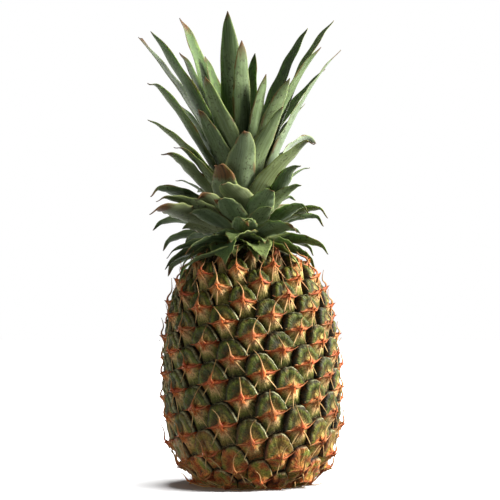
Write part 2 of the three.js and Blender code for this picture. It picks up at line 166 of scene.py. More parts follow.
# Leaves from the lowest to the innermost. Each row: azimuth of the tip, its
# reach from the crown's axis, its height, the leaf's width and its tip's style.
LEAVES = (
    (-52, 0.059, 0.138, 0.017, "drooping"),
    (-125, 0.070, 0.144, 0.013, "drooping"),
    (50, 0.046, 0.146, 0.014, "drooping"),
    (-72, 0.057, 0.155, 0.013, "dry"),
    (170, 0.058, 0.146, 0.014, "drooping"),
    (14, 0.049, 0.153, 0.024, "beaked"),
    (-98, 0.058, 0.148, 0.013, "plain"),
    (80, 0.057, 0.158, 0.014, "drooping"),
    (-17, 0.050, 0.150, 0.024, "beaked"),
    (-165, 0.062, 0.168, 0.015, "drooping"),
    (46, 0.049, 0.172, 0.019, "withered"),
    (-58, 0.073, 0.184, 0.018, "withered"),
    (165, 0.057, 0.160, 0.014, "drooping"),
    (-11, 0.050, 0.165, 0.024, "beaked"),
    (-122, 0.070, 0.162, 0.014, "drooping"),
    (58, 0.053, 0.185, 0.016, "hooked"),
    (-60, 0.066, 0.193, 0.015, "dry"),
    (150, 0.062, 0.187, 0.015, "drooping"),
    (30, 0.043, 0.200, 0.024, "broad"),
    (-112, 0.069, 0.176, 0.015, "drooping"),
    (80, 0.059, 0.183, 0.016, "hooked"),
    (-28, 0.039, 0.192, 0.024, "withered"),
    (-150, 0.064, 0.205, 0.016, "plain"),
    (68, 0.045, 0.205, 0.018, "plain"),
    (-46, 0.042, 0.195, 0.020, "withered"),
    (128, 0.072, 0.239, 0.019, "arched"),
    (-16, 0.043, 0.204, 0.022, "broad"),
    (-72, 0.065, 0.197, 0.015, "hooked"),
    (50, 0.054, 0.217, 0.018, "plain"),
    (-22, 0.039, 0.217, 0.022, "withered"),
    (175, 0.062, 0.222, 0.016, "plain"),
    (68, 0.057, 0.233, 0.022, "hooked"),
    (-58, 0.060, 0.225, 0.015, "dry"),
    (139, 0.076, 0.267, 0.015, "blunt"),
    (9, 0.042, 0.240, 0.022, "broad"),
    (-175, 0.058, 0.246, 0.017, "plain"),
    (100, 0.080, 0.302, 0.015, "lit"),
    (-68, 0.064, 0.249, 0.013, "plain"),
    (126, 0.084, 0.293, 0.016, "lit"),
    (44, 0.048, 0.257, 0.018, "plain"),
    (-132, 0.051, 0.265, 0.012, "plain"),
    (116, 0.085, 0.326, 0.014, "lit"),
    (-44, 0.036, 0.256, 0.018, "dry"),
    (155, 0.050, 0.272, 0.017, "plain"),
    (49, 0.053, 0.276, 0.018, "plain"),
    (-62, 0.065, 0.273, 0.012, "hooked"),
    (132, 0.079, 0.323, 0.014, "lit"),
    (-28, 0.039, 0.277, 0.016, "dry"),
    (-118, 0.071, 0.313, 0.014, "blunt"),
    (78, 0.065, 0.300, 0.017, "plain"),
    (-76, 0.054, 0.311, 0.016, "plain"),
    (178, 0.038, 0.300, 0.017, "plain"),
    (28, 0.021, 0.304, 0.015, "dry"),
    (-128, 0.041, 0.326, 0.020, "dry"),
    (142, 0.030, 0.301, 0.014, "lit"),
    (-8, -0.006, 0.328, 0.020, "plain"),
    (-138, 0.025, 0.298, 0.014, "plain"),
)

# Smaller leaves between those. Each row starts with its place in the order above.
SMALL_LEAVES = (
    (33.5, -55, 0.051, 0.230, 0.009, "dry"),
    (28.5, -120, 0.052, 0.211, 0.009, "plain"),
    (8.5, -45, 0.057, 0.157, 0.010, "dry"),
    (2.5, -60, 0.052, 0.1455, 0.010, "drooping"),
    (18.5, 96, 0.056, 0.178, 0.010, "hooked"),
    (16.5, 112, 0.042, 0.1735, 0.010, "plain"),
    (9.5, 112, 0.051, 0.158, 0.012, "drooping"),
    (5.5, 100, 0.047, 0.148, 0.010, "drooping"),
    (4.5, 75, 0.048, 0.149, 0.011, "drooping"),
    (50.5, 55, 0.030, 0.281, 0.014, "plain"),
    (54.5, 150, 0.018, 0.2835, 0.013, "dry"),
    (27.5, 115, 0.055, 0.220, 0.013, "plain"),
    (46.5, -118, 0.035, 0.280, 0.014, "dry"),
    (13.5, 2, 0.044, 0.176, 0.013, "dry"),
    (3.5, 8, 0.046, 0.152, 0.014, "plain"),
    (22.5, 120, 0.043, 0.197, 0.011, "drooping"),
    (49.5, -130, 0.045, 0.302, 0.009, "dry"),
)

# Short leaves that fill the crown's foot all round.
FILL_COUNT = 26
FILL_RANKS = (0.5, 24.0)
FILL_REACHES = (0.036, 0.048)
FILL_TIP_HEIGHTS = (0.150, 0.196)
FILL_WIDTH = 0.017

# How each style of leaf ends. Each row: hook, dry share of the length, width left at
# the end, the pointed end's length in widths, the leaf's angles at the stem and the
# tip as shares of its chord's angle, share of the usual channel's depth, paleness.
# The paleness of the lit and arched styles is painted light.
STYLE_PARTS = ("hook", "dry", "end", "point", "launch", "arrive", "channel", "pale")
STYLES = {
    "plain": (0.0015, 0.035, 0.0, 1.5, 0.7, 1.4, 1.0, 0.0),
    "dry": (0.0030, 0.10, 0.0, 1.4, 0.7, 1.4, 1.0, 0.0),
    "withered": (0.0035, 0.28, 0.0, 0.8, 0.7, 1.4, 0.8, 0.15),
    "drooping": (0.003, 0.045, 0.0, 1.6, 0.7, 1.5, 1.0, 0.0),
    "hooked": (0.006, 0.06, 0.0, 1.5, 0.7, 1.4, 1.0, 0.0),
    "blunt": (0.0, 0.05, 0.42, 1.5, 0.7, 1.4, 1.0, 0.5),
    "broad": (0.002, 0.05, 0.0, 0.75, 0.7, 1.4, 0.8, 0.15),
    "beaked": (0.001, 0.03, 0.0, 0.8, 0.86, 1.5, 0.6, 0.1),
    "lit": (0.0015, 0.035, 0.0, 1.5, 0.7, 1.4, 0.8, 0.3),
    "arched": (0.002, 0.02, 0.0, 1.0, 0.6, 2.3, 0.8, 0.85),
}

# Camera at the photograph's viewpoint, and the light.
CAMERA_PLACE = (-0.0031, -1.3, 0.12)
CAMERA_RISE = 0.0414
LENS = 135.7
SENSOR = 36.0
CLIP_END = 50.0
FLOOR_SIZE = 12.0
PAPER_GREY = 0.88
LIGHT_TARGET = (0.0, 0.0, 0.16)
FILL_STRENGTH = 0.115
# Lights of the fruit: name, place, size, power and tint.
AREA_LIGHTS = (
    ("key", (1.0, -0.2, 0.62), 0.5, 43.0, (1.0, 0.97, 0.92)),
    ("rim", (0.75, 0.75, 0.85), 0.6, 12.0, (1.0, 0.98, 0.94)),
    ("left", (-1.1, -0.75, 0.1), 0.5, 5.4, (1.0, 0.96, 0.9)),
)
FLOOR_LIGHTS = ((3.0, 20.0, 5.2), (48.0, 20.0, 6.4))  # tilt to the right, spread, strength


def smoothstep(value, low, high):
    """0 below low, 1 above high, and a smooth rise between them."""
    share = np.clip((np.asarray(value, float) - low) / (high - low), 0.0, 1.0)
    return share * share * (3.0 - 2.0 * share)


def mix(low, high, share):
    """The value a share of the way from low to high."""
    return low + (high - low) * share


def bell(value, middle, width):
    """A bump of height 1 around a middle value."""
    return np.exp(-(((value - middle) / width) ** 2))


def even_steps(count):
    """Even steps from 0 to 1."""
    return np.linspace(0.0, 1.0, count)


def full_turn(count):
    """Even azimuths once round."""
    return np.linspace(0.0, 2.0 * np.pi, count, endpoint=False)


def around_axis(radii, azimuths, heights, offset=0.0):
    """Points at radii and azimuths around the vertical, shifted along X."""
    x = radii * np.sin(azimuths) + offset
    return np.stack([x, -radii * np.cos(azimuths), heights], axis=-1)


def add_object(name, data):
    """A new object of the scene."""
    made = bpy.data.objects.new(name, data)
    bpy.context.scene.collection.objects.link(made)
    return made


def colour(red, green, blue):
    """A colour given as 0 to 255 display values, as linear light with alpha."""
    shares = [channel / 255.0 for channel in (red, green, blue)]
    linear = [s / 12.92 if s <= 0.04045 else ((s + 0.055) / 1.055) ** 2.4 for s in shares]
    return (*linear, 1.0)


# Fruit outline and eye places


def outline_radius(heights):
    """Radius of the fruit's outline at each height."""
    below = heights < WIDEST_HEIGHT
    bulge = np.where(below, LOWER_POWERS[0], UPPER_POWERS[0])
    close = np.where(below, LOWER_POWERS[1], UPPER_POWERS[1])
    reach = np.where(below, LOWER_REACH, UPPER_REACH)
    share = np.abs(heights - WIDEST_HEIGHT) / reach
    return WIDEST_RADIUS * np.maximum(0.0, 1.0 - share**bulge) ** close


def make_outline():
    """Heights, radii, surface lengths and outward normals up the outline."""
    steps = np.arange(OUTLINE_STEPS + 1) / OUTLINE_STEPS
    heights = (WIDEST_HEIGHT + UPPER_REACH) * np.sin(0.5 * np.pi * steps)
    radii = outline_radius(heights)
    pieces = np.hypot(np.diff(radii), np.diff(heights))
    lengths = np.concatenate(([0.0], np.cumsum(pieces)))
    outwards = np.gradient(heights, lengths)
    upwards = -np.gradient(radii, lengths)
    scale = np.hypot(outwards, upwards)
    return heights, radii, lengths, outwards / scale, upwards / scale


HEIGHTS, RADII, LENGTHS, OUTWARDS, UPWARDS = make_outline()
OUTLINE_LENGTH = LENGTHS[-1]
MIDDLE_EYE_LENGTH = float(np.interp(MIDDLE_EYE_HEIGHT, HEIGHTS, LENGTHS))


def away_from_ends(lengths, margin):
    """Grows from 0 at both ends of the outline to 1 inside a margin."""
    return smoothstep(lengths, 0.0, margin) * smoothstep(OUTLINE_LENGTH - lengths, 0.0, margin)


def skin_points(azimuths, lengths, lifts, fade=RELIEF_FADE):
    """Points of the fruit's skin, lifted off its outline."""
    held = np.clip(lengths, 0.0, OUTLINE_LENGTH)
    raised = lifts * away_from_ends(held, fade)
    radii = np.interp(held, LENGTHS, RADII) + np.interp(held, LENGTHS, OUTWARDS) * raised
    heights = np.interp(held, LENGTHS, HEIGHTS) + np.interp(held, LENGTHS, UPWARDS) * raised
    heights = np.maximum(heights, 0.0)
    return around_axis(radii, azimuths, heights, -FRUIT_LEAN * heights)


def eye_place(n):
    """Azimuth (radians) and surface length of eye n."""
    azimuth = math.radians(FIRST_EYE_AZIMUTH + DIVERGENCE * n)
    length = MIDDLE_EYE_LENGTH - EYE_STEP * n - EYE_STEP_GROWTH * n * max(0, n)
    down = n / SKEW_EYES
    sideways = (SIDEWAYS_SKEW[0] + SIDEWAYS_SKEW[1] * down) * math.sin(azimuth)
    forward = FORWARD_SKEW * down * math.cos(azimuth)
    return azimuth, length + (sideways + forward) * float(away_from_ends(length, SKEW_FADE))


def cell_corners(n):
    """The six corners of eye n's cell as azimuth and length from its hub,
    from the lower right corner round over the top."""
    right, left, down = SIDES
    around = (
        (n, n + right, n + down),
        (n - left, n, n + right),
        (n - down, n - left, n),
        (n - down, n - right, n),
        (n - right, n, n + left),
        (n, n + left, n + down),
    )
    hub_azimuth, hub_length = eye_place(n)
    corners = []
    for eyes in around:
        places = [eye_place(eye) for eye in eyes]
        turns = [math.remainder(place[0] - hub_azimuth, 2.0 * math.pi) for place in places]
        corners.append((sum(turns) / 3.0, sum(place[1] for place in places) / 3.0 - hub_length))
    return np.array(corners)


def along_edge(corners, turn, radius):
    """The point of a cell's edge at a turn counted in corners, cyclic."""
    turn = np.mod(turn, 6.0)
    start = np.floor(turn).astype(int) % 6
    share = (turn - np.floor(turn))[:, None]
    here, there = corners[start], corners[(start + 1) % 6]
    run = (there - here) * np.array([radius, 1.0])
    outwards = np.stack([run[:, 1] / radius, -run[:, 0]], axis=-1)
    bow = 4.0 * share * (1.0 - share) * np.array(EDGE_BOWS)[start][:, None]
    return here * (1.0 - share) + there * share + outwards * bow


def rounded_edge(corners, turn, radius):
    """The same, with the cell's corners rounded off."""
    points = [along_edge(corners, turn + shift, radius) for shift in CORNER_SPREAD]
    return sum(points) / len(CORNER_SPREAD)


class EyeShape:
    """One eye: its place, its cell and its own random build."""

    def __init__(self, n, rng):
        self.azimuth, self.length = eye_place(n)
        self.corners = cell_corners(n)
        self.radius = float(np.interp(self.length, LENGTHS, RADII))
        self.upness = float(smoothstep(self.length, *UPPER_LENGTHS))
        height = float(np.interp(self.length, LENGTHS, HEIGHTS))
        self.shade = float(smoothstep(height, *SHADED_HEIGHTS))
        self.lowness = float(1.0 - smoothstep(self.length, *FOOT_LENGTHS))
        self.tone = rng.random()
        self.bulge = rng.uniform(0.8, 1.15)
        self.split = rng.uniform(0.25, 0.75)
        self.split_depth = rng.uniform(0.0, 0.0008)
        self.scallops = rng.uniform(6.0, 9.0)
        self.phase = rng.uniform(0.0, 2.0 * math.pi)
        self.tip_lean = rng.normal(-0.04, 0.26)
        self.tip_length = rng.uniform(0.7, 1.12)
        self.tip_rise = rng.uniform(0.6, 1.35)
        self.dryness = rng.random()

    def values(self, **more):
        """What the materials read at this eye's vertices."""
        return {"tone": self.tone, "upness": self.upness, "shade": self.shade, **more}

    def half_width(self):
        """Half the cell's width on the surface."""
        return 0.5 * (self.corners[1][0] - self.corners[4][0]) * self.radius

    def half_height(self):
        """Half the cell's height on the surface."""
        top = 0.5 * (self.corners[2][1] + self.corners[3][1])
        bottom = 0.5 * (self.corners[0][1] + self.corners[5][1])
        return 0.5 * (top - bottom)

    def surface(self, sideways, upwards, lifts):
        """Points given by metres sideways and upwards from the hub."""
        azimuths = self.azimuth + np.asarray(sideways) / max(self.radius, NARROWEST)
        return skin_points(azimuths, self.length + np.asarray(upwards), np.asarray(lifts))

    def lumps(self, around):
        """Rounded scallops along the rim of the sepals."""
        return np.abs(np.sin(around * math.pi * self.scallops + self.phase)) ** 0.7

    def tent_lift(self, share, edge):
        """Lift of the bract's foot, a tent with concave sides around the hub."""
        tent = TENT_HEIGHT * (1.0 - smoothstep(share * (0.25 + 3.0 * edge), 0.05, 0.26))
        return tent + TOP_TENT_HEIGHT * self.upness * (1.0 - share)

    def cap_lift(self, share, around):
        """Lift of the sepals, a thick rim around a hollow; around runs from 0 at
        the right to 1 at the left."""
        edge = np.minimum(around, 1.0 - around)
        fall = 1.0 - smoothstep(share, 0.93, 1.0)
        level = mix(HOLLOW_HEIGHT, CAP_HEIGHT * self.bulge, smoothstep(share, 0.34, 0.74))
        dome = level * (1.0 - share**5) ** 0.6 * mix(0.6, 1.0, smoothstep(edge, 0.0, 0.12))
        dome = dome * mix(1.0, 0.3, self.lowness)
        valley = 0.0008 * bell(around, 0.5, 0.05) * smoothstep(share, 0.15, 0.5)
        second = self.split_depth * bell(around, self.split, 0.05) * smoothstep(share, 0.3, 0.6)
        folds = np.sin(around * math.pi * 9.0 + self.phase * 2.0 + share * 3.0)
        second = second + 0.0002 * folds * smoothstep(share, 0.3, 0.7)
        rim = bell(share, 0.91, 0.05) * (0.0009 * self.lumps(around) - 0.0004)
        raised = dome - (valley + second) * fall + rim + self.tent_lift(share, edge)
        return mix(GROOVE_LIFT, 0.0, fall) + raised

    def apron_lift(self, share, around):
        """Lift of the bract below the hub, sloping into the grooves; around runs from 0
        at the left to 1 at the right."""
        edge = np.minimum(around, 1.0 - around)
        fall = 1.0 - smoothstep(share, 0.75, 1.0)
        slope = mix(APRON_HEIGHT, GROOVE_LIFT, share)
        fold = FOLD_HEIGHT * bell(edge, 0.0, 0.075) * smoothstep(share, 0.0, 0.2)
        middle = 0.0007 * bell(around, 0.5, 0.09) * (1.0 - share)
        folds = 0.00022 * np.sin(around * math.pi * 12.0 + self.phase) * smoothstep(share, 0.1, 0.5)
        hollow = 0.0008 * np.sin(math.pi * np.clip(edge / 0.5, 0, 1)) * bell(share, 0.55, 0.3)
        tent = TENT_HEIGHT * np.exp(-share / 0.16) + TOP_TENT_HEIGHT * self.upness * (1.0 - share)
        return slope + (fold + middle + folds - hollow) * fall + tent

    def grid(self):
        """Vertices and masks of the eye's surface, ring by ring."""
        shares = np.array(RINGS)[:, None]
        cap_turn = 1.0 + 3.0 * even_steps(CAP_COLUMNS)
        apron_turn = 4.0 + 3.0 * even_steps(APRON_COLUMNS)
        turn = np.concatenate([cap_turn, apron_turn])
        is_cap = np.concatenate([np.ones(CAP_COLUMNS), np.zeros(APRON_COLUMNS)])[None, :]
        around = np.concatenate([(cap_turn - 1.0) / 3.0, (apron_turn - 4.0) / 3.0])[None, :]
        radius = max(self.radius, NARROWEST)
        straight = along_edge(self.corners, turn, radius)[None]
        rounded = rounded_edge(self.corners, turn, radius)[None]
        over_top = is_cap * np.sin(math.pi * around) ** 0.7
        closeness = np.maximum(smoothstep(shares, 0.86, 1.0), 1.0 - over_top)[:, :, None]
        wander = 1.0 - over_top * 0.06 * (1.0 - self.lumps(around)) * bell(shares, 0.90, 0.14)
        places = mix(rounded, straight, closeness) * (shares * wander)[:, :, None]
        lifts = np.where(
            is_cap > 0.5, self.cap_lift(shares, around), self.apron_lift(shares, around)
        )
        points = skin_points(self.azimuth + places[..., 0], self.length + places[..., 1], lifts)
        return points, self.values(cap=is_cap, share=shares, around=around, lowness=self.lowness)


# Meshes


class Builder:
    """Collects vertices, faces and per-vertex values into one mesh."""

    def __init__(self, name):
        self.name = name
        self.points = []
        self.faces = []
        self.values = {}
        self.count = 0

    def add_points(self, points, values):
        """Adds vertices and returns the index of the first."""
        flat = np.asarray(points, float).reshape(-1, 3)
        first = self.count
        self.points.append(flat)
        self.count += len(flat)
        for key, numbers in values.items():
            spread = np.broadcast_to(numbers, np.shape(points)[:-1]).reshape(-1)
            self.values.setdefault(key, []).append(spread)
        return first

    def add_rings(self, points, values):
        """Adds rings of vertices with quads between them; returns the first's index."""
        rows, columns = points.shape[:2]
        first = self.add_points(points, values)
        row, column = np.meshgrid(np.arange(rows - 1), np.arange(columns), indexing="ij")
        beside = (column + 1) % columns
        here, there = first + row * columns, first + (row + 1) * columns
        quads = np.stack([here + column, here + beside, there + beside, there + column], axis=-1)
        self.faces.extend(quads.reshape(-1, 4).tolist())
        return first

    def add_tube(self, points, values):
        """Adds rings of vertices closed by a flat face at both ends."""
        rows, columns = points.shape[:2]
        first = self.add_rings(points, values)
        last = first + (rows - 1) * columns
        self.faces.append(list(range(first + columns - 1, first - 1, -1)))
        self.faces.append(list(range(last, last + columns)))

    def finish(self, material, slot, replaced=()):
        """Makes the object, with its material, and ties it to the frame."""
        points = np.concatenate(self.points)
        mesh = bpy.data.meshes.new(self.name)
        mesh.from_pydata(points.tolist(), [], self.faces)
        for key, parts in self.values.items():
            attribute = mesh.attributes.new(key, "FLOAT", "POINT")
            attribute.data.foreach_set("value", np.concatenate(parts).astype(np.float32))
        mesh.polygons.foreach_set("use_smooth", np.ones(len(mesh.polygons), bool))
        mesh.materials.append(material)
        mesh.update()
        made = add_object(self.name, mesh)
        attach(made, BODY)
        if replaced:
            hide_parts(*replaced)


def add_blade(builder, path, half_widths, ridge, values):
    """A thin tapering strip with a raised middle along a path on the fruit, closed all round."""
    along = np.gradient(path, axis=0)
    along /= np.linalg.norm(along, axis=1, keepdims=True) + 1e-12
    across = np.cross(along, outward_normals(path))
    across /= np.linalg.norm(across, axis=1, keepdims=True) + 1e-12
    up = np.cross(across, along)
    rings = [path + across * half_widths[:, None] * side + up * ridge[:, None] * height
             for side, height in BLADE_SECTION]
    points = np.stack(rings, axis=1)
    points[..., 2] = np.maximum(points[..., 2], 0.0)
    sides = np.array([side for side, _ in BLADE_SECTION])[None, :]
    builder.add_tube(points, {"along": even_steps(len(path))[:, None], "across": sides, **values})


def outward_normals(points):
    """Directions away from the fruit's middle, for strips that lie on its skin."""
    away = points - np.array([-FRUIT_LEAN * NORMALS_HEIGHT, 0.0, 0.0])
    away[:, 2] = (away[:, 2] - NORMALS_HEIGHT) * NORMALS_TILT
    return away / np.linalg.norm(away, axis=1, keepdims=True)


# Fruit


def add_eye(builder, eye):
    points, values = eye.grid()
    builder.add_rings(points, values)


def add_spine(builder, eye, rng):
    """The bract's pointed tip, from below the hub up over the cap."""
    steps = even_steps(SPINE_STEPS)
    reach = eye.half_height() * 1.12 * eye.tip_length * mix(1.0, 1.35, eye.upness)
    hub = SPINE_FOOT / (reach + SPINE_FOOT)
    lean = eye.tip_lean * reach
    curl = rng.normal(0.0, 0.26) * reach
    past_hub = np.maximum(steps - hub, 0.0) / (1.0 - hub)
    sideways = lean * past_hub**1.4 + curl * past_hub**3
    upwards = -SPINE_FOOT + (reach + SPINE_FOOT) * steps * (1.0 - 0.05 * steps)
    stand = 0.0044 * eye.tip_rise + 0.0050 * eye.upness
    top = 0.0028 + 0.6 * TOP_TENT_HEIGHT * eye.upness
    lifts = 0.0018 + top * bell(steps, hub + 0.08, 0.22) + stand * past_hub**1.5
    path = eye.surface(sideways, upwards, lifts)
    flare = np.exp(-np.abs(steps - hub) / 0.085) * rng.uniform(0.75, 1.15)
    half = eye.half_width() * (0.23 * flare + 0.058 * (1.0 - steps)) * smoothstep(steps, -0.02, 0.12)
    ridge = 0.0010 * (1.0 - steps) + 0.0002
    values = eye.values(kind=0.0, dryness=eye.dryness)
    add_blade(builder, path, half + 0.00014, ridge, values)


def add_wing(builder, eye, rng, side):
    """The bract's raised upper margin, from the hub out to a free rising point."""
    steps = even_steps(WING_STEPS)
    corner = eye.corners[1 if side > 0 else 4]
    reach = corner[0] * eye.radius * rng.uniform(0.95, 1.1)
    rise = corner[1] + rng.uniform(0.0, 0.0018)
    sideways = reach * mix(0.04, 1.0, steps)
    sag = rng.uniform(0.0006, 0.0014)
    upwards = rise * steps**2 - sag * np.sin(np.pi * steps)
    top = 0.0038 + TOP_TENT_HEIGHT * eye.upness * (1.0 - steps)
    lifts = top - 0.0020 * smoothstep(steps, 0.0, 0.7) + rng.uniform(0.0002, 0.0012) * steps**4
    path = eye.surface(sideways, upwards, lifts)
    uneven = 1.0 + 0.3 * np.sin(steps * rng.uniform(6.0, 12.0) + eye.phase)
    half = (0.0009 * (1.0 - steps) ** 1.3 + 0.0002 * (1.0 - steps) ** 0.5 + 0.00012) * uneven
    ridge = 0.0004 * (1.0 - 0.7 * steps)
    add_blade(builder, path, half, ridge, eye.values(kind=0.5, dryness=eye.dryness))


def add_ridge(builder, eye, rng, direction):
    """A pale dry strip down the bract, its end free."""
    steps = even_steps(STRIP_STEPS)
    angle = math.radians(direction + rng.normal(0.0, 7.0))
    reach = eye.half_height() * rng.uniform(0.85, 1.15)
    sideways = reach * steps * math.cos(angle) + 0.0007 * np.sin(np.pi * steps) * math.cos(angle)
    upwards = -0.0008 + reach * steps * math.sin(angle)
    lifts = 0.0028 - 0.0014 * steps + rng.uniform(0.0004, 0.0014) * steps**3
    lifts = lifts + TOP_TENT_HEIGHT * eye.upness * (1.0 - steps)
    path = eye.surface(sideways, upwards, lifts)
    half = (0.00048 * (1.0 - steps) ** 0.5 + 0.00012) * rng.uniform(0.7, 1.3)
    ridge = 0.00045 * (1.0 - 0.6 * steps)
    add_blade(builder, path, half, ridge, eye.values(kind=1.0, dryness=eye.dryness))


def add_underskin(builder):
    """A dark round skin below the grooves, down to the flat foot; its dark colour is painted shade of
    the grooves.
    """
    rings, columns = UNDERSKIN_GRID
    lengths, azimuths = np.broadcast_arrays(
        np.linspace(0.0, OUTLINE_LENGTH, rings)[:, None], full_turn(columns)[None, :])
    points = skin_points(azimuths, lengths, np.full(lengths.shape, UNDERSKIN_LIFT), FOOT_RELIEF_FADE)
    low = 1.0 - smoothstep(lengths, 0.004, 0.016)
    builder.add_rings(points, {**FOOT_VALUES, "share": 1.0 - 0.5 * low})


def add_foot(builder, rng):
    """The flat foot: a ring of dry fibrous tissue around the stalk."""
    rings, columns = FOOT_GRID
    azimuths = full_turn(columns)
    ripple = rng.uniform(0.0, 1.0, columns)
    points = []
    for i, radius in enumerate(np.linspace(FOOT_RADIUS, STALK_RADIUS + GAP, rings)):
        inside = math.sin(math.pi * i / (rings - 1))
        points.append(around_axis(radius, azimuths, inside * (0.0004 + 0.0011 * ripple)))
    builder.add_rings(np.array(points), {**FOOT_VALUES, "share": 0.5})


def add_dry_strands(builder, rng):
    """Loose dry strands around the foot and here and there on the skin."""
    strands = list(SEEN_STRANDS)
    for _ in range(LOOSE_STRANDS):
        strands.append((rng.uniform(-180, 180), rng.uniform(0.002, 0.026),
                        rng.uniform(0.006, 0.015), rng.uniform(-1.0, 1.0)))
    steps = even_steps(STRIP_STEPS)
    for azimuth, length, size, slant in strands:
        swing = rng.normal(0.0, 0.25)
        turn = math.radians(azimuth) + slant * size * steps / STRAND_RADIUS
        turn = turn + swing * size * steps**2 / STRAND_RADIUS
        lengths = length - size * 0.55 * steps
        lifts = 0.0030 + rng.uniform(0.001, 0.004) * steps**1.5
        path = skin_points(turn, lengths, lifts, STRAND_RELIEF_FADE)
        path[:, 2] = np.maximum(path[:, 2], 0.0006)
        half = 0.00045 * (1.0 - steps) ** 0.6 + 0.0001
        values = {"kind": 1.0, "tone": rng.random(), "dryness": 1.0, "upness": 0.0, "shade": 0.0}
        add_blade(builder, path, half, half * 0.6, values)


def make_fruit(rng):
    """The skin of eyes as one piece, and their spines and margins as another."""
    skin = Builder("fruit_skin")
    bracts = Builder("fruit_bracts")
    for n in range(TOP_EYE, BOTTOM_EYE + 1):
        eye = EyeShape(n, rng)
        add_eye(skin, eye)
        add_spine(bracts, eye, rng)
        for side in (1, -1):
            add_wing(bracts, eye, rng, side)
        for direction, chance in STRIPS:
            if rng.random() < chance:
                add_ridge(bracts, eye, rng, direction)
    add_underskin(skin)
    add_foot(skin, rng)
    add_dry_strands(bracts, rng)
    skin.finish(skin_material(), "fruit_skin", ["fruit"])
    bracts.finish(bract_material(), "fruit_skin")


# Stalk and crown stem


def turned_piece(name, radii, heights, columns, axis, bump, material, node):
    """A round piece with a slightly uneven side, closed at both ends."""
    builder = Builder(name)
    azimuths = full_turn(columns)
    rows = []
    for radius, height in zip(radii, heights):
        uneven = radius * (1.0 + bump * np.sin(azimuths * UNEVEN_LOBES + height * UNEVEN_TWIST))
        rows.append(around_axis(uneven, azimuths, np.full(columns, height), axis(height)))
    builder.add_tube(np.array(rows), {})
    builder.finish(material, node, [node])


def make_stalk():
    """The cut stub: concentric ridges of fibre on a nearly flat face."""
    steps = even_steps(STALK_RIDGES)
    face_radii = STALK_RADIUS * np.concatenate([[0.02], steps[1:] * 0.97])
    face_heights = 0.0007 * (1.0 - steps) + 0.00035 * (np.arange(STALK_RIDGES) % 2)
    face_heights[-1] = 0.0
    radii = [*face_radii, STALK_RADIUS, STALK_RADIUS, STALK_RADIUS * 0.98]
    heights = [*face_heights, 0.0008, STALK_LENGTH * 0.6, STALK_LENGTH]
    turned_piece("cut_stalk_fibre", radii, heights, STALK_COLUMNS, lambda height: 0.0, 0.012,
                 stalk_material(), "cut_stalk")


def crown_axis(height):
    """Where the crown's axis is along X at a height."""
    return CROWN_OFFSET - CROWN_LEAN * (height - CROWN_FOOT)


def make_stem():
    """The crown's stem with the faint rings that leaves leave on it."""
    above = np.linspace(STEM_SOCKET, STEM_HEIGHTS[-1], STEM_ROWS)
    radii = np.interp(above, STEM_HEIGHTS, STEM_RADII)
    rings = 1.0 + 0.02 * np.sin(above / 0.0016)
    turned_piece("crown_stem_scars", radii * rings, above + CROWN_FOOT, STEM_COLUMNS, crown_axis,
                 0.015, stem_material(), "crown_stem")


# Crown leaves


def bezier(points, steps):
    """Points of a cubic curve at each step from 0 to 1."""
    a, b, c, d = (np.array(point)[None, :] for point in points)
    t = steps[:, None]
    return a * (1 - t) ** 3 + 3 * b * t * (1 - t) ** 2 + 3 * c * t**2 * (1 - t) + d * t**3


def leaf_centreline(place, tip_azimuth, reach, height, steps, tip_style, base_azimuth):
    """Azimuths, points and length of a leaf's centreline, from the stem to its tip."""
    rank = (place / (len(LEAVES) - 1)) ** LEAF_CROWDING
    if base_azimuth is None:
        base_azimuth = FIRST_LEAF_AZIMUTH + LEAF_TURN * place
    turn = (tip_azimuth - base_azimuth + 180.0) % 360.0 - 180.0
    above = mix(LOWEST_LEAF_BASE, HIGHEST_LEAF_BASE, rank)
    base = np.array([np.interp(above, STEM_HEIGHTS, STEM_RADII), CROWN_FOOT + above])
    tip = np.array([reach, height])
    chord = tip - base
    size = np.linalg.norm(chord)
    angle = math.atan2(chord[0], chord[1])
    flatness = float(smoothstep(angle, *FLAT_ANGLES))
    launch = angle * min(0.9, tip_style["launch"] + STRAIGHTENING[0] * flatness)
    arrival = angle * (tip_style["arrive"] + STRAIGHTENING[1] * flatness)
    base[0] += (GAP + LEAF_THICKNESS / 2) / max(0.4, math.cos(launch))
    out = base + np.array([math.sin(launch), math.cos(launch)]) * LAUNCH_HANDLE * size
    back = tip - np.array([math.sin(arrival), math.cos(arrival)]) * ARRIVAL_HANDLE * size
    curve = bezier((base, out, back, tip), steps)
    azimuths = np.radians(base_azimuth + turn * smoothstep(steps, 0.0, TURN_SHARE))
    points = around_axis(curve[:, 0], azimuths, curve[:, 1], crown_axis(curve[:, 1]))
    length = float(np.sum(np.linalg.norm(np.diff(points, axis=0), axis=1)))
    return azimuths, points, length, rank


def leaf_widths(steps, length, width, tip_style):
    """Width of a leaf at each step: a broad foot, a long taper and a point."""
    distance = steps * length
    foot = mix(0.86, 1.0, smoothstep(steps, 0.0, WIDEST_SHARE))
    to_tip = (length - distance) / (tip_style["point"] * width)
    closing = 1.0 - np.exp(-to_tip)
    ending = np.maximum(closing, tip_style["end"] * smoothstep(steps, 0.7, 1.0))
    return TIP_WIDTH + (width * foot - TIP_WIDTH) * ending


def hook_tip(points, sideways, steps, hook, rng):
    """Bends the last part of a leaf's centreline down and to one side."""
    hooking = smoothstep(steps, *HOOK_SHARES) ** 1.5
    points += sideways * (hook * rng.uniform(-0.6, 0.6) * hooking)[:, None]
    points[:, 2] -= hook * hooking


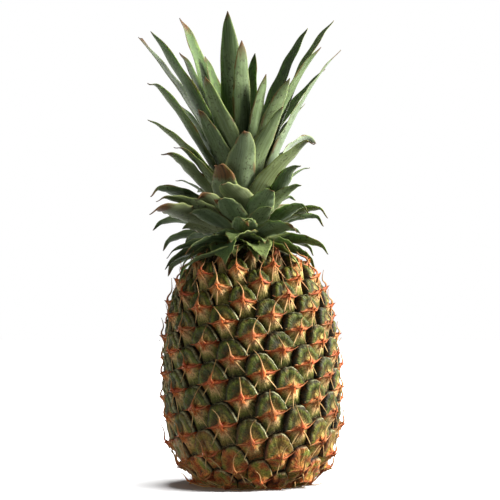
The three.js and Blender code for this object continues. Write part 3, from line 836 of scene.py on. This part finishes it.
def leaf_directions(points, sideways, azimuths, steps, rank, rng):
    """Directions across a leaf and inwards along its centreline, rolled and twisted."""
    along = np.gradient(points, axis=0)
    along /= np.linalg.norm(along, axis=1, keepdims=True)
    across = sideways - along * np.sum(sideways * along, axis=1, keepdims=True)
    across /= np.linalg.norm(across, axis=1, keepdims=True)
    inward = np.cross(along, across)
    side_roll = mix(*SIDE_ROLL, float(smoothstep(rank, *ROLL_CHANGE)))
    roll = -side_roll * np.sin(azimuths) * smoothstep(steps, 0.05, 0.45)
    twist = (rng.normal(0.0, 0.18) * steps**1.5 + roll)[:, None]
    turned = across * np.cos(twist) + inward * np.sin(twist)
    return turned, inward * np.cos(twist) - across * np.sin(twist)


def leaf_rings(points, across, inward, steps, widths, channel, rng):
    """Rings of a leaf's lower and upper faces, bent into a channel with wavy margins."""
    positions = np.linspace(-1.0, 1.0, LEAF_ACROSS)
    bend = (widths / 2 / np.sin(channel))[:, None]
    angle = positions[None, :] * channel[:, None]
    waves = rng.uniform(3.0, 6.0)
    phases = rng.uniform(0.0, 2.0 * math.pi, 2)
    phase = np.where(positions < 0, phases[0], phases[1])[None, :]
    wave = np.sin(steps[:, None] * waves * 2 * math.pi + phase) * np.abs(positions)[None, :] ** 2
    wave = wave * (WAVE_HEIGHT * widths * smoothstep(steps, 0.1, 0.4))[:, None]
    half = mix(LEAF_THICKNESS, EDGE_THICKNESS, positions**2)[None, :] / 2
    half = half * mix(1.0, 0.5, steps)[:, None]
    faces = []
    for face in (-1.0, 1.0):
        side = bend * np.sin(angle) - np.sin(angle) * face * half
        lift = bend * (1.0 - np.cos(angle)) + np.cos(angle) * face * half + wave
        faces.append(points[:, None, :] + across[:, None, :] * side[..., None]
                     + inward[:, None, :] * lift[..., None])
    return np.concatenate([faces[0], faces[1][:, ::-1]], axis=1)


def close_leaf(builder, first):
    """Faces over the foot and the tip of a leaf."""
    count = 2 * LEAF_ACROSS
    for start, flip in ((first, True), (first + (LEAF_STATIONS - 1) * count, False)):
        for j in range(LEAF_ACROSS - 1):
            corners = [start + j, start + j + 1, start + count - j - 2, start + count - j - 1]
            builder.faces.append(corners[::-1] if flip else corners)


def add_leaf(builder, rng, place, tip_azimuth, reach, height, width, style, base_azimuth=None):
    """A channelled blade with wavy margins and its own tip, as a closed solid."""
    tip = dict(zip(STYLE_PARTS, STYLES[style]))
    steps = 1.0 - (1.0 - even_steps(LEAF_STATIONS)) ** TIP_CROWDING
    azimuths, points, length, rank = leaf_centreline(
        place, tip_azimuth, reach, height + tip["hook"], steps, tip, base_azimuth)
    sideways = np.stack([np.cos(azimuths), np.sin(azimuths), np.zeros(len(steps))], -1)
    hook_tip(points, sideways, steps, tip["hook"], rng)
    across, inward = leaf_directions(points, sideways, azimuths, steps, rank, rng)
    widths = leaf_widths(steps, length, width * mix(*WIDTH_GAIN, rank), tip)
    channel = np.interp(steps, (0.0, 0.35, 1.0), CHANNEL_ANGLES) * mix(1.0, 0.8, rank)
    rings = leaf_rings(points, across, inward, steps, widths, channel * tip["channel"], rng)
    positions = np.linspace(-1.0, 1.0, LEAF_ACROSS)
    signed = np.concatenate([positions, positions[::-1]])[None, :]
    first = builder.add_rings(rings, {
        "across": signed,
        "sideways": signed * widths[:, None] / 2,
        "distance": (steps * length)[:, None],
        "along": steps[:, None],
        "under": np.repeat((1.0, 0.0), LEAF_ACROSS)[None, :],
        "dry": tip["dry"] * rng.uniform(0.6, 1.3),
        "leaf_tone": rng.random(),
        "age": 1.0 - rank,
        "pale": tip["pale"],
    })
    close_leaf(builder, first)


def make_leaves(rng):
    """The crown: a piece for each leaf of the frame, and the small leaves between."""
    material = leaf_material()
    for k, row in enumerate(LEAVES):
        builder = Builder(f"blade_{k + 1:02d}")
        add_leaf(builder, rng, k, *row)
        builder.finish(material, "leaf", [f"leaf_{k + 1:02d}"])
    for i, (place, *row) in enumerate(SMALL_LEAVES):
        builder = Builder(f"small_blade_{i + 1:02d}")
        add_leaf(builder, rng, place, *row, base_azimuth=row[0])
        builder.finish(material, "leaf")
    fill = Builder("fill_blades")
    for i in range(FILL_COUNT):
        share = i / (FILL_COUNT - 1)
        azimuth = LEAF_TURN * i + 40
        add_leaf(
            fill, rng, mix(*FILL_RANKS, share), azimuth, mix(*FILL_REACHES, rng.random()),
            mix(*FILL_TIP_HEIGHTS, share), FILL_WIDTH * rng.uniform(0.8, 1.15), "beaked",
            base_azimuth=azimuth)
    fill.finish(material, "leaf")


# Materials


class Nodes:
    """A material with a Principled shader and short calls for its nodes."""

    def __init__(self, name):
        self.material = bpy.data.materials.new(name)
        self.material.use_nodes = True
        self.tree = self.material.node_tree
        self.shader = self.tree.nodes["Principled BSDF"]

    def put(self, socket, value):
        """Links a socket, or sets it to a number or to a colour of display values."""
        if isinstance(value, bpy.types.NodeSocket):
            self.tree.links.new(value, socket)
        else:
            socket.default_value = colour(*value) if isinstance(value, tuple) else value

    def attributes(self, *names):
        """Per-vertex values of the mesh by name."""
        nodes = [self.tree.nodes.new("ShaderNodeAttribute") for _ in names]
        for node, name in zip(nodes, names):
            node.attribute_name = name
        return [node.outputs["Fac"] for node in nodes]

    def math(self, operation, a, b=0.0):
        node = self.tree.nodes.new("ShaderNodeMath")
        node.operation = operation
        self.put(node.inputs[0], a)
        self.put(node.inputs[1], b)
        return node.outputs[0]

    def times(self, a, b):
        return self.math("MULTIPLY", a, b)

    def plus(self, a, b):
        return self.math("ADD", a, b)

    def minus(self, a, b):
        return self.math("SUBTRACT", a, b)

    def ramp(self, factor, stops):
        """A colour ramp; each stop is a position and a colour or a grey."""
        node = self.tree.nodes.new("ShaderNodeValToRGB")
        elements = node.color_ramp.elements
        while len(elements) < len(stops):
            elements.new(0.5)
        for element, (position, shade) in zip(elements, stops):
            element.position = position
            element.color = colour(*shade) if isinstance(shade, tuple) else (shade, shade, shade, 1.0)
        self.put(node.inputs[0], factor)
        return node.outputs[0]

    def slope(self, factor, start, end, low=0.0, high=1.0):
        """A grey that goes from low at the start to high at the end."""
        return self.ramp(factor, [(start, low), (end, high)])

    def mix(self, factor, a, b, blend="MIX"):
        node = self.tree.nodes.new("ShaderNodeMix")
        node.data_type = "RGBA"
        node.blend_type = blend
        node.clamp_factor = True
        for index, value in ((0, factor), (6, a), (7, b)):
            self.put(node.inputs[index], value)
        return node.outputs[2]

    def tint(self, base, shade):
        """A colour multiplied by another."""
        return self.mix(1.0, base, shade, "MULTIPLY")

    def noise(self, scale, detail=3.0, vector=None, roughness=0.5):
        """Noise over the object's own coordinates, or over another vector."""
        node = self.tree.nodes.new("ShaderNodeTexNoise")
        self.put(node.inputs["Scale"], scale)
        self.put(node.inputs["Detail"], detail)
        self.put(node.inputs["Roughness"], roughness)
        if vector is None:
            vector = self.tree.nodes.new("ShaderNodeTexCoord").outputs["Object"]
        self.put(node.inputs["Vector"], vector)
        return node.outputs[0]

    def stretched_noise(self, values, scales, detail=3.0, roughness=0.5):
        """Noise over three values, each stretched by its own scale."""
        node = self.tree.nodes.new("ShaderNodeCombineXYZ")
        for socket, value, scale in zip(node.inputs, values, scales):
            self.put(socket, self.times(value, scale))
        return self.noise(1.0, detail, node.outputs[0], roughness)

    def bump(self, height, distance, strength):
        node = self.tree.nodes.new("ShaderNodeBump")
        node.inputs["Strength"].default_value = strength
        node.inputs["Distance"].default_value = distance
        self.put(node.inputs["Height"], height)
        self.put(self.shader.inputs["Normal"], node.outputs[0])

    def finish(self, base, roughness, specular):
        self.put(self.shader.inputs["Base Color"], base)
        self.put(self.shader.inputs["Roughness"], roughness)
        self.shader.inputs["Specular IOR Level"].default_value = specular
        return self.material


def cap_colour(m, share, around, wobble, rays):
    """Green waxy sepals, with painted light as a pale patch and a pale rim highlight on the right,
    lit side, and painted shade along the left edge.
    """
    # The last two stops darken the sepals' edge to near black: painted shade of the grooves.
    base = m.ramp(wobble, [
        (0.05, (150, 92, 40)), (0.20, (134, 108, 44)), (0.36, (56, 50, 14)), (0.54, (42, 48, 11)),
        (0.74, (86, 94, 32)), (0.90, (44, 44, 15)), (0.98, (12, 9, 4))])
    # Painted light: a pale patch on the right half of each sepal, where the light falls.
    band = m.ramp(wobble, [(0.14, 0.0), (0.26, 1.0), (0.40, 1.0), (0.60, 0.0)])
    lit_side = m.times(m.slope(around, 0.30, 0.5, 1.0, 0.0), band)
    base = m.mix(m.times(lit_side, 0.85), base, (184, 168, 96))
    base = m.tint(base, m.slope(rays, 0.32, 0.66, 0.72, 1.22))
    # Painted highlight: a pale line along the rim on the right, lit side.
    rim = m.times(m.ramp(share, [(0.89, 0.0), (0.94, 1.0), (0.975, 0.0)]),
                  m.slope(around, 0.3, 0.6, 1.0, 0.1))
    base = m.mix(m.times(rim, 0.9), base, (208, 210, 164))
    # Painted shade along the sepals' left edge, away from the light.
    painted_shade_left_edge = m.times(m.slope(share, 0.80, 0.96), m.slope(around, 0.35, 0.7, 0.0, 0.9))
    base = m.mix(painted_shade_left_edge, base, (14, 11, 5))
    blotch = m.slope(m.noise(300.0), 0.50, 0.66)
    return m.mix(m.times(blotch, 0.5), base, (88, 56, 24))


def tent_colour(m, base, share, edge, coarse, rays):
    """The bract's orange foot around the hub, over the sepals' colour."""
    reach = m.times(share, m.plus(m.times(edge, 3.0), 0.25))
    reach = m.plus(reach, m.times(m.minus(coarse, 0.5), 0.10))
    tent = m.ramp(rays, [(0.36, (150, 62, 28)), (0.5, (184, 96, 44)), (0.66, (206, 150, 84))])
    return m.mix(m.slope(reach, 0.12, 0.22, 1.0, 0.0), base, tent)


def apron_colour(m, share, edge, coarse, wobble, rays, inside):
    """The bract below the hub, orange, then cream, then olive towards the grooves, where it turns
    near black with painted shade.
    """
    # The last two stops darken the bract to near black at the grooves: painted shade.
    base = m.ramp(wobble, [
        (0.05, (190, 84, 36)), (0.26, (206, 116, 58)), (0.44, (218, 176, 124)),
        (0.62, (168, 150, 92)), (0.78, (98, 96, 44)), (0.90, (44, 40, 17)), (0.98, (18, 13, 6))])
    base = m.tint(base, m.slope(rays, 0.34, 0.60, 0.8, 1.2))
    base = m.mix(m.slope(rays, 0.56, 0.70, 0.0, 0.4), base, (222, 198, 146))
    greener = m.times(m.slope(coarse, 0.42, 0.60, 0.0, 0.6), m.slope(share, 0.5, 0.8))
    base = m.mix(greener, base, (92, 98, 42))
    near_fold = m.slope(edge, 0.02, 0.15, 1.0, 0.0)
    return m.mix(m.times(near_fold, m.times(inside, 0.85)), base, (168, 72, 30))


def dry_low_eyes(m, eye, cap, lowness, coarse, inside):
    """Dry orange and brown tissue over the lowest eyes, less on their sepals."""
    patchy = m.slope(m.noise(70.0), 0.36, 0.50, 0.7, 1.0)
    still_green = m.times(cap, m.slope(lowness, 0.65, 1.0, 0.85, 0.35))
    warm = m.times(m.times(lowness, inside), m.times(patchy, m.minus(1.0, still_green)))
    low_colour = m.ramp(coarse, [(0.38, (152, 156, 66)), (0.47, (206, 148, 78)),
                                 (0.57, (204, 102, 54)), (0.68, (92, 40, 22))])
    return m.mix(warm, eye, low_colour)


def skin_material():
    """Green sepals, orange to green bracts and a dry brown foot, with painted shade in the grooves,
    on the sepals' left edges and under the crown, and painted light on the sepals' right sides.
    """
    m = Nodes("pineapple_skin")
    cap, share, around, tone, upness, lowness, shade = m.attributes(
        "cap", "share", "around", "tone", "upness", "lowness", "shade")
    coarse = m.noise(140.0, 4.0)
    fine = m.noise(900.0)
    rays = m.stretched_noise((around, share, tone), (26.0, 2.4, 40.0))
    wobble = m.plus(share, m.times(m.minus(coarse, 0.5), 0.3))
    edge = m.math("MINIMUM", around, m.minus(1.0, around))
    inside = m.slope(share, 0.90, 0.98, 1.0, 0.0)
    sepals = cap_colour(m, share, around, wobble, rays)
    sepals = tent_colour(m, sepals, share, edge, coarse, rays)
    eye = m.mix(cap, apron_colour(m, share, edge, coarse, wobble, rays, inside), sepals)
    eye = dry_low_eyes(m, eye, cap, lowness, coarse, inside)
    pale = m.times(upness, m.times(m.minus(1.0, cap), 0.15))
    eye = m.mix(pale, eye, (206, 176, 92))
    eye = m.tint(eye, m.slope(tone, 0.0, 1.0, 0.72, 1.2))
    eye = m.tint(eye, m.ramp(fine, [(0.32, 0.42), (0.5, 1.02), (0.70, 1.45)]))
    # Painted shade of the hollow under the crown, darkest at the top of the fruit.
    eye = m.mix(m.times(shade, 0.85), eye, (16, 10, 5))
    relief = m.plus(m.times(fine, 0.4), m.times(rays, 0.9))
    m.bump(m.plus(relief, coarse), 0.0010, 0.9)
    return m.finish(eye, m.slope(cap, 0.0, 1.0, 0.66, 0.56), 0.18)


def bract_material():
    """Spines and margins: red orange at the foot, straw at the dry points."""
    m = Nodes("pineapple_bracts")
    along, across, kind, tone, dryness, upness, shade = m.attributes(
        "along", "across", "kind", "tone", "dryness", "upness", "shade")
    coarse = m.noise(260.0)
    shift = m.plus(along, m.times(m.minus(coarse, 0.5), 0.5))
    spine = m.ramp(shift, [
        (0.0, (186, 120, 66)), (0.28, (190, 74, 32)), (0.45, (196, 124, 68)),
        (0.65, (216, 182, 126)), (0.95, (190, 148, 92)), (1.0, (96, 60, 32))])
    wing = m.ramp(shift, [
        (0.0, (184, 84, 36)), (0.6, (176, 70, 34)), (0.9, (150, 82, 40)), (1.0, (116, 74, 40))])
    strip = m.ramp(shift, [
        (0.0, (184, 104, 56)), (0.25, (206, 160, 100)), (0.8, (224, 198, 140)),
        (1.0, (160, 122, 80))])
    is_wing = m.ramp(kind, [(0.2, 0.0), (0.3, 1.0), (0.7, 1.0), (0.8, 0.0)])
    base = m.mix(m.slope(kind, 0.7, 0.8), m.mix(is_wing, spine, wing), strip)
    base = m.mix(m.times(upness, 0.3), base, (176, 62, 32))
    base = m.mix(m.slope(dryness, 0.5, 1.0, 0.0, 0.5), base, (186, 150, 98))
    fibres = m.stretched_noise((across, along, tone), (3.5, 2.0, 40.0), 2.0)
    base = m.mix(m.slope(fibres, 0.50, 0.64, 0.0, 0.65), base, (206, 168, 104))
    base = m.mix(m.slope(fibres, 0.36, 0.48, 0.75, 0.0), base, (112, 44, 20))
    base = m.tint(base, m.slope(tone, 0.0, 1.0, 0.8, 1.15))
    fine = m.noise(1500.0, 2.0)
    base = m.tint(base, m.slope(fine, 0.3, 0.7, 0.8, 1.1))
    m.bump(fine, 0.0003, 0.5)
    # Painted shade of the hollow under the crown.
    base = m.mix(m.times(shade, 0.7), base, (20, 12, 6))
    return m.finish(base, m.slope(coarse, 0.3, 0.7, 0.5, 0.66), 0.25)


def leaf_green(m, across, along, under, pale, age, tone, streaks, patches):
    """Dark green above and greyer below, with a waxy bloom, olive age and pale margins."""
    upper = m.ramp(patches, [(0.3, (58, 84, 34)), (0.5, (72, 102, 38)), (0.72, (102, 130, 54))])
    lower = m.ramp(patches, [(0.3, (64, 84, 46)), (0.5, (84, 104, 60)), (0.72, (116, 136, 94))])
    base = m.mix(under, upper, lower)
    bloom = m.times(m.slope(streaks, 0.38, 0.66), m.plus(m.times(under, 0.22), 0.08))
    base = m.mix(bloom, base, (152, 172, 138))
    # The pale mix is painted light on leaves of the lit and arched styles, which stand in the strong
    # light from the right.
    base = m.mix(m.times(pale, 0.8), base, (186, 202, 176))
    olive = m.times(age, m.slope(tone, 0.4, 1.0, 0.0, 0.55))
    base = m.mix(olive, base, (132, 126, 78))
    margin = m.slope(m.math("ABSOLUTE", across), 0.84, 0.97)
    base = m.mix(m.times(margin, 0.45), base, (140, 146, 76))
    foot = m.slope(along, 0.0, 0.22, 1.0, 0.0)
    return m.mix(m.times(foot, 0.45), base, (150, 156, 104))


def leaf_dried(m, across, along, distance, dry, tone, patches):
    """How far each place has dried to brown, in ragged tips and scorched margins."""
    to_tip = m.minus(m.plus(along, dry), 1.0)
    ragged = m.times(m.minus(patches, 0.5), 0.3)
    tips = m.slope(m.plus(m.plus(to_tip, ragged), 0.5), 0.45, 0.54)
    scorch = m.stretched_noise((distance, across, tone), (60.0, 1.0, 7.0), 2.0)
    margins = m.times(m.slope(scorch, 0.55, 0.62), m.slope(m.math("ABSOLUTE", across), 0.72, 0.9))
    return m.math("MAXIMUM", tips, m.times(margins, 0.8))


def leaf_material():
    """Streaked and speckled green with brown dry tips, letting a little light through."""
    m = Nodes("pineapple_leaf")
    sideways, distance, across, along, under, dry, tone, age, pale = m.attributes(
        "sideways", "distance", "across", "along", "under", "dry", "leaf_tone", "age", "pale")
    place = (sideways, distance, tone)
    streaks = m.stretched_noise(place, (1500.0, 26.0, 7.0))
    patches = m.stretched_noise(place, (160.0, 50.0, 7.0), 4.0)
    specks = m.stretched_noise(place, (700.0, 420.0, 7.0), 2.0, 0.6)
    base = leaf_green(m, across, along, under, pale, age, tone, streaks, patches)
    spotted = m.times(m.slope(specks, 0.54, 0.64), m.slope(patches, 0.42, 0.58))
    base = m.mix(m.times(spotted, 0.7), base, (46, 40, 24))
    brown = m.ramp(streaks, [(0.3, (48, 27, 13)), (0.7, (124, 78, 42))])
    dried = leaf_dried(m, across, along, distance, dry, tone, patches)
    base = m.mix(m.times(dried, 0.9), base, brown)
    base = m.tint(base, m.slope(tone, 0.0, 1.0, 0.72, 1.02))
    m.shader.inputs["Subsurface Weight"].default_value = LEAF_GLOW
    m.shader.inputs["Subsurface Radius"].default_value = LEAF_GLOW_TINT
    m.shader.inputs["Subsurface Scale"].default_value = LEAF_GLOW_DEPTH
    m.bump(m.plus(streaks, m.times(patches, 0.4)), 0.0003, 0.3)
    return m.finish(base, m.slope(streaks, 0.3, 0.7, 0.56, 0.68), 0.22)


def stalk_material():
    """Cut fibre: pale pith with darker bundles in rings."""
    m = Nodes("cut_fibre")
    dots = m.noise(1100.0, 2.0)
    broad = m.noise(90.0)
    base = m.ramp(broad, [(0.35, (186, 158, 108)), (0.65, (146, 112, 68))])
    base = m.mix(m.slope(dots, 0.52, 0.62), base, (96, 66, 38))
    m.bump(dots, 0.0008, 0.8)
    return m.finish(base, m.slope(broad, 0.3, 0.7, 0.75, 0.9), 0.25)


def stem_material():
    """Pale green stem with brown scars."""
    m = Nodes("crown_stem_skin")
    broad = m.noise(200.0, 4.0)
    fine = m.noise(1200.0, 2.0)
    base = m.ramp(broad, [(0.35, (150, 150, 92)), (0.6, (120, 92, 52))])
    base = m.tint(base, m.slope(fine, 0.3, 0.7, 0.75, 1.1))
    m.bump(fine, 0.0005, 0.6)
    return m.finish(base, m.slope(broad, 0.3, 0.7, 0.55, 0.8), 0.3)


# Stage


def floor_material():
    """Matt white paper."""
    m = Nodes("white_paper")
    m.shader.inputs["Base Color"].default_value = (PAPER_GREY, PAPER_GREY, PAPER_GREY, 1.0)
    m.shader.inputs["Roughness"].default_value = 1.0
    m.shader.inputs["Specular IOR Level"].default_value = 0.0
    return m.material


def make_floor():
    """The paper under the fruit, which doesn't light the fruit from below."""
    mesh = bpy.data.meshes.new("floor")
    half = FLOOR_SIZE / 2
    corners = [(-half, -half, 0.0), (half, -half, 0.0), (half, half, 0.0), (-half, half, 0.0)]
    mesh.from_pydata(corners, [], [(0, 1, 2, 3)])
    mesh.materials.append(floor_material())
    floor = add_object("floor", mesh)
    floor.visible_diffuse = False
    return floor


def light_only(light, floor, state):
    """Lights the floor alone (INCLUDE) or everything but the floor (EXCLUDE)."""
    receivers = bpy.data.collections.new(light.name + "_receivers")
    receivers.objects.link(floor)
    receivers.collection_objects[0].light_linking.link_state = state
    light.light_linking.receiver_collection = receivers


def add_floor_lights(floor):
    """Two even lights that keep the paper white wherever either of them reaches, so
    that only the place hidden from both, left of the fruit, is in soft shadow."""
    for i, (tilt, spread, strength) in enumerate(FLOOR_LIGHTS):
        light = bpy.data.lights.new(f"floor_light_{i + 1}", "SUN")
        light.energy = strength
        light.angle = math.radians(spread)
        holder = add_object(light.name, light)
        holder.rotation_euler = (0.0, math.radians(tilt), 0.0)
        light_only(holder, floor, "INCLUDE")


def add_area_light(name, place, size, power, tint, floor):
    """A round light on the fruit alone, aimed at its middle."""
    light = bpy.data.lights.new(name, "AREA")
    light.shape = "DISK"
    light.size = size
    light.energy = power
    light.color = tint
    holder = add_object(name, light)
    holder.location = place
    aim = Vector(LIGHT_TARGET) - Vector(place)
    holder.rotation_euler = aim.to_track_quat("-Z", "Y").to_euler()
    light_only(holder, floor, "EXCLUDE")


def make_world():
    """White seen directly, and a dimmer even fill for everything else."""
    world = bpy.data.worlds.new("studio")
    bpy.context.scene.world = world
    world.use_nodes = True
    tree = world.node_tree
    background = tree.nodes["Background"]
    background.inputs["Color"].default_value = (1.0, 1.0, 1.0, 1.0)
    path = tree.nodes.new("ShaderNodeLightPath")
    level = tree.nodes.new("ShaderNodeMix")
    level.inputs[2].default_value = FILL_STRENGTH
    level.inputs[3].default_value = 1.0
    tree.links.new(path.outputs["Is Camera Ray"], level.inputs[0])
    tree.links.new(level.outputs[0], background.inputs["Strength"])


def make_camera():
    data = bpy.data.cameras.new("camera")
    data.lens = LENS
    data.sensor_width = SENSOR
    data.clip_end = CLIP_END
    camera = add_object("camera", data)
    camera.location = CAMERA_PLACE
    pitch = math.atan2(CAMERA_RISE, -CAMERA_PLACE[1])
    camera.rotation_euler = (math.pi / 2 + pitch, 0.0, 0.0)
    bpy.context.scene.camera = camera


def make_stage():
    bpy.context.scene.view_settings.view_transform = "Standard"
    floor = make_floor()
    make_world()
    add_floor_lights(floor)
    for row in AREA_LIGHTS:
        add_area_light(*row, floor)
    make_camera()


make_fruit(np.random.default_rng(SEED))
make_stalk()
make_stem()
make_leaves(np.random.default_rng(SEED + 1))
make_stage()
